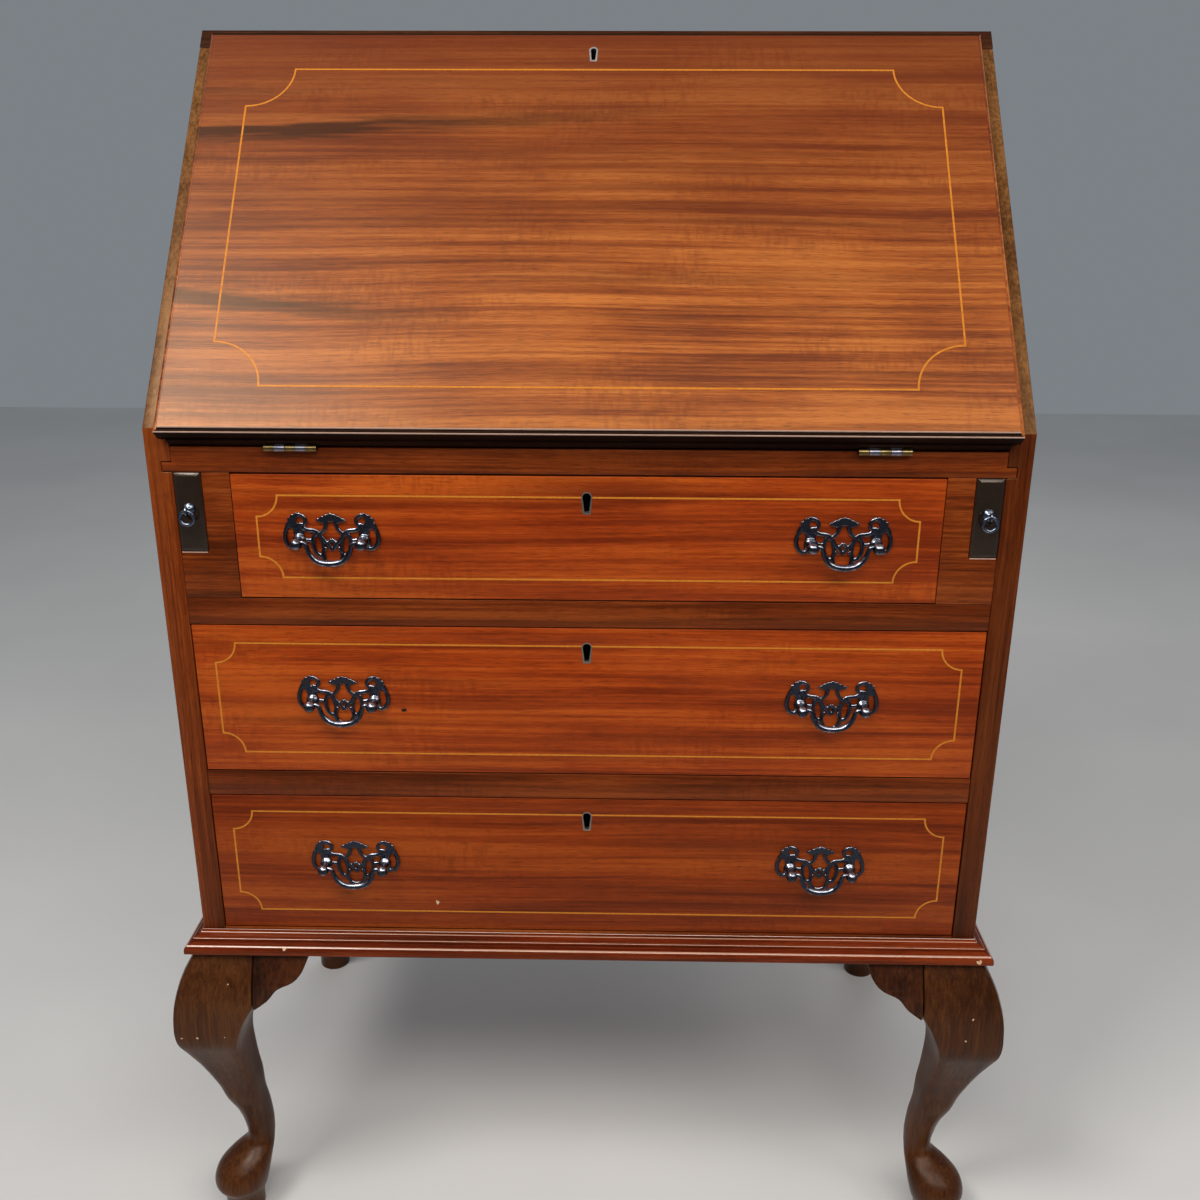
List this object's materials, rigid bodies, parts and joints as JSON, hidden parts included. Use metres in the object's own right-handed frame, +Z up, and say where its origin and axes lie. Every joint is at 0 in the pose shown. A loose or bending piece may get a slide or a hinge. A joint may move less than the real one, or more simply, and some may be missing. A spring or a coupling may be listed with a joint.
{
  "type": "slant-front writing desk",
  "caption": "Slant-front bureau with a hinged writing fall on sliding lopers, long drawers with bail handles, inner pigeonholes and cabriole legs.",
  "frame": {"origin": "on the floor, midway between the four feet", "axes": "+Z up, -Y the front where the user sits, +X across the width"},
  "size_m": [0.7268, 0.4468, 1.0505],
  "materials": {
    "mahogany": "polished, satin gloss",
    "dark_mahogany": "polished, satin gloss",
    "drawer_lining": "plain planed wood, waxed",
    "ebonised": "black polished end",
    "leather": "tooled writing leather, satin",
    "dark_brass": "antiqued dark brass",
    "brass": "aged brass",
    "steel": "plain steel lock case"
  },
  "bodies": {
    "carcase": {"back_panel": "drawer_lining", "base_moulding_front": "mahogany", "base_moulding_left": "mahogany", "base_moulding_right": "mahogany", "bottom_board": "dark_mahogany", "case_hinge_leaf_left": "brass", "case_hinge_leaf_right": "brass", "leg_front_left": "dark_mahogany", "leg_front_right": "dark_mahogany", "leg_rear_left": "dark_mahogany", "leg_rear_right": "dark_mahogany", "loper_housing_left": "dark_mahogany", "loper_housing_right": "dark_mahogany", "pigeonhole_unit": "mahogany", "rail_lower": "dark_mahogany", "rail_upper": "dark_mahogany", "side_left": "dark_mahogany", "side_right": "dark_mahogany", "top_board": "mahogany", "writing_board": "mahogany"},
    "fall": {"fall_front": "mahogany", "fall_leather": "leather", "fall_hinge_leaf_left": "brass", "fall_hinge_leaf_right": "brass", "fall_lock": "steel"},
    "fall_bolt": {"fall_bolt": "brass"},
    "loper_left": {"loper_left": "ebonised", "loper_pull_left": "dark_brass"},
    "loper_ring_left": {"loper_ring_left": "dark_brass"},
    "small_drawer_left": {"small_drawer_left": "mahogany", "small_knob_left": "brass"},
    "loper_right": {"loper_right": "ebonised", "loper_pull_right": "dark_brass"},
    "loper_ring_right": {"loper_ring_right": "dark_brass"},
    "small_drawer_right": {"small_drawer_right": "mahogany", "small_knob_right": "brass"},
    "drawer_1": {"drawer_1_front": "mahogany", "drawer_1_box": "drawer_lining", "drawer_1_lock": "steel", "drawer_1_plate_left": "dark_brass", "drawer_1_plate_right": "dark_brass"},
    "drawer_1_bolt": {"drawer_1_bolt": "brass"},
    "drawer_1_bail_left": {"drawer_1_bail_left": "dark_brass"},
    "drawer_1_bail_right": {"drawer_1_bail_right": "dark_brass"},
    "drawer_2": {"drawer_2_front": "mahogany", "drawer_2_box": "drawer_lining", "drawer_2_lock": "steel", "drawer_2_plate_left": "dark_brass", "drawer_2_plate_right": "dark_brass"},
    "drawer_2_bolt": {"drawer_2_bolt": "brass"},
    "drawer_2_bail_left": {"drawer_2_bail_left": "dark_brass"},
    "drawer_2_bail_right": {"drawer_2_bail_right": "dark_brass"},
    "drawer_3": {"drawer_3_front": "mahogany", "drawer_3_box": "drawer_lining", "drawer_3_lock": "steel", "drawer_3_plate_left": "dark_brass", "drawer_3_plate_right": "dark_brass"},
    "drawer_3_bolt": {"drawer_3_bolt": "brass"},
    "drawer_3_bail_left": {"drawer_3_bail_left": "dark_brass"},
    "drawer_3_bail_right": {"drawer_3_bail_right": "dark_brass"}
  },
  "joints": [
    {"name": "fall_hinge", "type": "hinge", "parent": "carcase", "child": "fall", "pos_m": [0, -0.198, 0.74], "axis": [1, 0, 0], "range_deg": [0, 128.15]},
    {"name": "fall_bolt_slide", "type": "slide", "parent": "fall", "child": "fall_bolt", "axis": [0, -0.6177, -0.7864], "range_m": [-0.008, 0]},
    {"name": "loper_left_slide", "type": "slide", "parent": "carcase", "child": "loper_left", "axis": [0, -1, 0], "range_m": [0, 0.24]},
    {"name": "loper_ring_left_swing", "type": "hinge", "parent": "loper_left", "child": "loper_ring_left", "pos_m": [-0.305, -0.2045, 0.692], "axis": [-1, 0, 0], "range_deg": [0, 90]},
    {"name": "small_drawer_left_slide", "type": "slide", "parent": "carcase", "child": "small_drawer_left", "axis": [0, -1, 0], "range_m": [0, 0.1]},
    {"name": "loper_right_slide", "type": "slide", "parent": "carcase", "child": "loper_right", "axis": [0, -1, 0], "range_m": [0, 0.24]},
    {"name": "loper_ring_right_swing", "type": "hinge", "parent": "loper_right", "child": "loper_ring_right", "pos_m": [0.305, -0.2045, 0.692], "axis": [-1, 0, 0], "range_deg": [0, 90]},
    {"name": "small_drawer_right_slide", "type": "slide", "parent": "carcase", "child": "small_drawer_right", "axis": [0, -1, 0], "range_m": [0, 0.1]},
    {"name": "drawer_1_slide", "type": "slide", "parent": "carcase", "child": "drawer_1", "axis": [0, -1, 0], "range_m": [0, 0.27]},
    {"name": "drawer_1_bolt_slide", "type": "slide", "parent": "drawer_1", "child": "drawer_1_bolt", "axis": [0, 0, -1], "range_m": [-0.006, 0]},
    {"name": "drawer_1_bail_left_swing", "type": "hinge", "parent": "drawer_1", "child": "drawer_1_bail_left", "pos_m": [-0.197, -0.208, 0.669], "axis": [-1, 0, 0], "range_deg": [0, 90]},
    {"name": "drawer_1_bail_right_swing", "type": "hinge", "parent": "drawer_1", "child": "drawer_1_bail_right", "pos_m": [0.197, -0.208, 0.669], "axis": [-1, 0, 0], "range_deg": [0, 90]},
    {"name": "drawer_2_slide", "type": "slide", "parent": "carcase", "child": "drawer_2", "axis": [0, -1, 0], "range_m": [0, 0.27]},
    {"name": "drawer_2_bolt_slide", "type": "slide", "parent": "drawer_2", "child": "drawer_2_bolt", "axis": [0, 0, -1], "range_m": [-0.006, 0]},
    {"name": "drawer_2_bail_left_swing", "type": "hinge", "parent": "drawer_2", "child": "drawer_2_bail_left", "pos_m": [-0.197, -0.208, 0.5335], "axis": [-1, 0, 0], "range_deg": [0, 90]},
    {"name": "drawer_2_bail_right_swing", "type": "hinge", "parent": "drawer_2", "child": "drawer_2_bail_right", "pos_m": [0.197, -0.208, 0.5335], "axis": [-1, 0, 0], "range_deg": [0, 90]},
    {"name": "drawer_3_slide", "type": "slide", "parent": "carcase", "child": "drawer_3", "axis": [0, -1, 0], "range_m": [0, 0.27]},
    {"name": "drawer_3_bolt_slide", "type": "slide", "parent": "drawer_3", "child": "drawer_3_bolt", "axis": [0, 0, -1], "range_m": [-0.006, 0]},
    {"name": "drawer_3_bail_left_swing", "type": "hinge", "parent": "drawer_3", "child": "drawer_3_bail_left", "pos_m": [-0.197, -0.208, 0.3825], "axis": [-1, 0, 0], "range_deg": [0, 90]},
    {"name": "drawer_3_bail_right_swing", "type": "hinge", "parent": "drawer_3", "child": "drawer_3_bail_right", "pos_m": [0.197, -0.208, 0.3825], "axis": [-1, 0, 0], "range_deg": [0, 90]}
  ]
}
